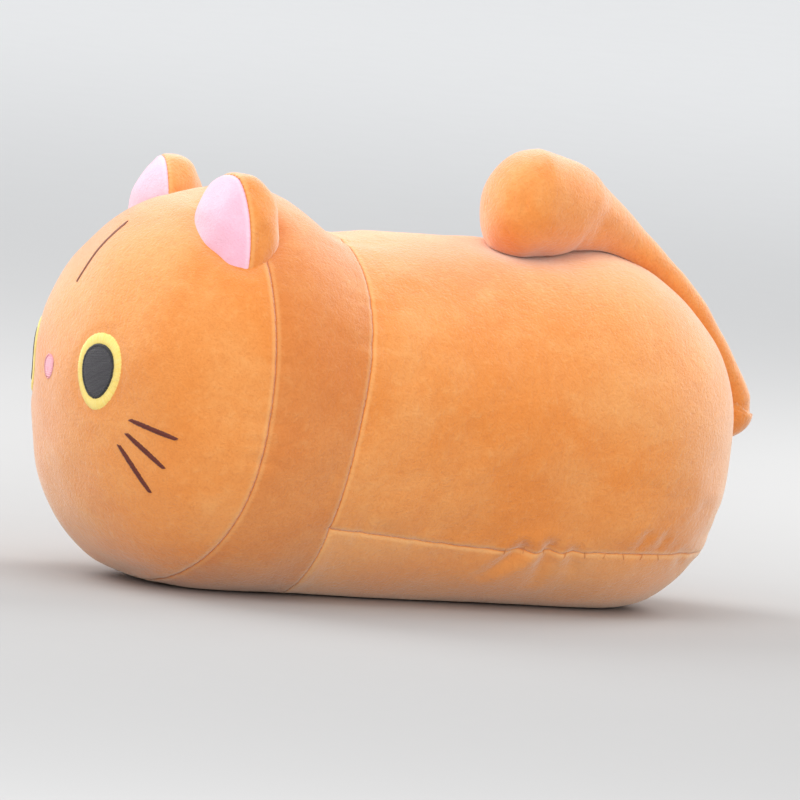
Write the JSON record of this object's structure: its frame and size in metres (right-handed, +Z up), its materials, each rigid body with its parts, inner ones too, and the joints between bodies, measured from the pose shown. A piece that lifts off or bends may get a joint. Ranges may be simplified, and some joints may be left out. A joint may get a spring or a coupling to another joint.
{
  "type": "plush cat",
  "caption": "Loaf-shaped stuffed plush cat with padded ears that fold back, an embroidered face and a padded tail that lies up over its back.",
  "frame": {"origin": "middle of the bounding box, on the plane the flattened belly rests on", "axes": "+Z up, -Y the way the face looks, +X the cat's left side"},
  "size_m": [0.18, 0.3558, 0.2125],
  "materials": {
    "orange_plush": "matte",
    "band_plush": "matte",
    "pink_plush": "matte",
    "fibre_fill": "matte",
    "yellow_thread": "matte",
    "charcoal_thread": "matte",
    "nose_thread": "matte",
    "brown_thread": "matte",
    "sewing_thread": "matte"
  },
  "bodies": {
    "body": {"body_stuffing": "fibre_fill", "face_panel": "orange_plush", "neck_band": "band_plush", "back_panel": "orange_plush", "belly_panel": "band_plush", "closing_stitches": "sewing_thread", "eye_left_iris": "yellow_thread", "eye_left_pupil": "charcoal_thread", "eye_right_iris": "yellow_thread", "eye_right_pupil": "charcoal_thread", "nose": "nose_thread", "forehead_stripe": "brown_thread", "whiskers_left": "brown_thread", "whiskers_right": "brown_thread"},
    "ear_left": {"ear_left_front": "pink_plush", "ear_left_back": "orange_plush", "ear_left_stuffing": "fibre_fill"},
    "ear_right": {"ear_right_front": "pink_plush", "ear_right_back": "orange_plush", "ear_right_stuffing": "fibre_fill"},
    "tail_base": {"tail_base_cover": "orange_plush", "tail_base_stuffing": "fibre_fill"},
    "tail_tip": {"tail_tip_cover": "orange_plush", "tail_tip_stuffing": "fibre_fill"}
  },
  "joints": [
    {"name": "ear_left_fold", "type": "hinge", "parent": "body", "child": "ear_left", "pos_m": [0.04572, -0.09076, 0.17529], "axis": [-0.862, -0.1411, 0.4869], "range_deg": [0, 35], "stiffness_Nm_per_rad": 0.01},
    {"name": "ear_right_fold", "type": "hinge", "parent": "body", "child": "ear_right", "pos_m": [-0.04572, -0.09076, 0.17529], "axis": [-0.862, 0.1411, -0.4869], "range_deg": [0, 35], "stiffness_Nm_per_rad": 0.01},
    {"name": "tail_lift", "type": "hinge", "parent": "body", "child": "tail_base", "pos_m": [0, 0.16145, 0.0795], "axis": [-1, 0, 0], "range_deg": [0, 90], "stiffness_Nm_per_rad": 0.02},
    {"name": "tail_curl", "type": "hinge", "parent": "tail_base", "child": "tail_tip", "pos_m": [0, 0.12005, 0.17557], "axis": [-1, 0, 0], "range_deg": [0, 60], "stiffness_Nm_per_rad": 0.02}
  ]
}
